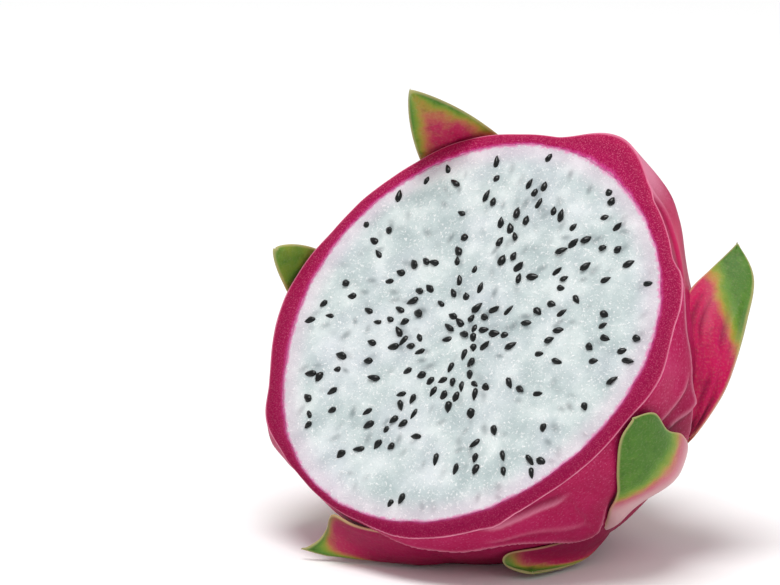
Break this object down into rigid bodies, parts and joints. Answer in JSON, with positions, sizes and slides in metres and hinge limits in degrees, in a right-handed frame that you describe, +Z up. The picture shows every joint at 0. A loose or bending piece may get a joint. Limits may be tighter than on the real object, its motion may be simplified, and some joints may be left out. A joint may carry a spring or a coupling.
{
  "type": "halved dragon fruit",
  "caption": "Half of a dragon fruit cut crosswise, stem end, lying on its side with white seeded flesh inside a pink peel that carries green-tipped leaf-like bracts.",
  "frame": {"origin": "the middle of the flat spot on which the half rests, on the table", "axes": "+Z up; the fruit's axis lies in the YZ plane, with the cut face turned towards -Y and tilted up; +X to the right of the cut face"},
  "size_m": [0.1003, 0.0829, 0.0896],
  "materials": {
    "peel": "satin waxy magenta fruit peel with a fine pale stipple",
    "flesh": "moist translucent white flesh, speckled with small black seeds",
    "stem": "dry brown-green woody stem",
    "bract": "satin green leaf tip that turns yellow and pink towards the base"
  },
  "bodies": {
    "root": {"rind": "peel", "flesh": "flesh", "stem_stub": "stem", "bract_front_right": "bract", "bract_right": "bract", "bract_top": "bract", "bract_left": "bract", "bract_lower_left": "bract", "bract_front_foot": "bract", "bract_left_flank": "bract", "bract_upper_right": "bract", "bract_back_upper": "bract", "bract_back_left": "bract", "bract_stem_left": "bract", "bract_stem_upper": "bract", "bract_stem_right": "bract", "bract_under_left": "bract", "bract_under_right": "bract"}
  },
  "joints": []
}
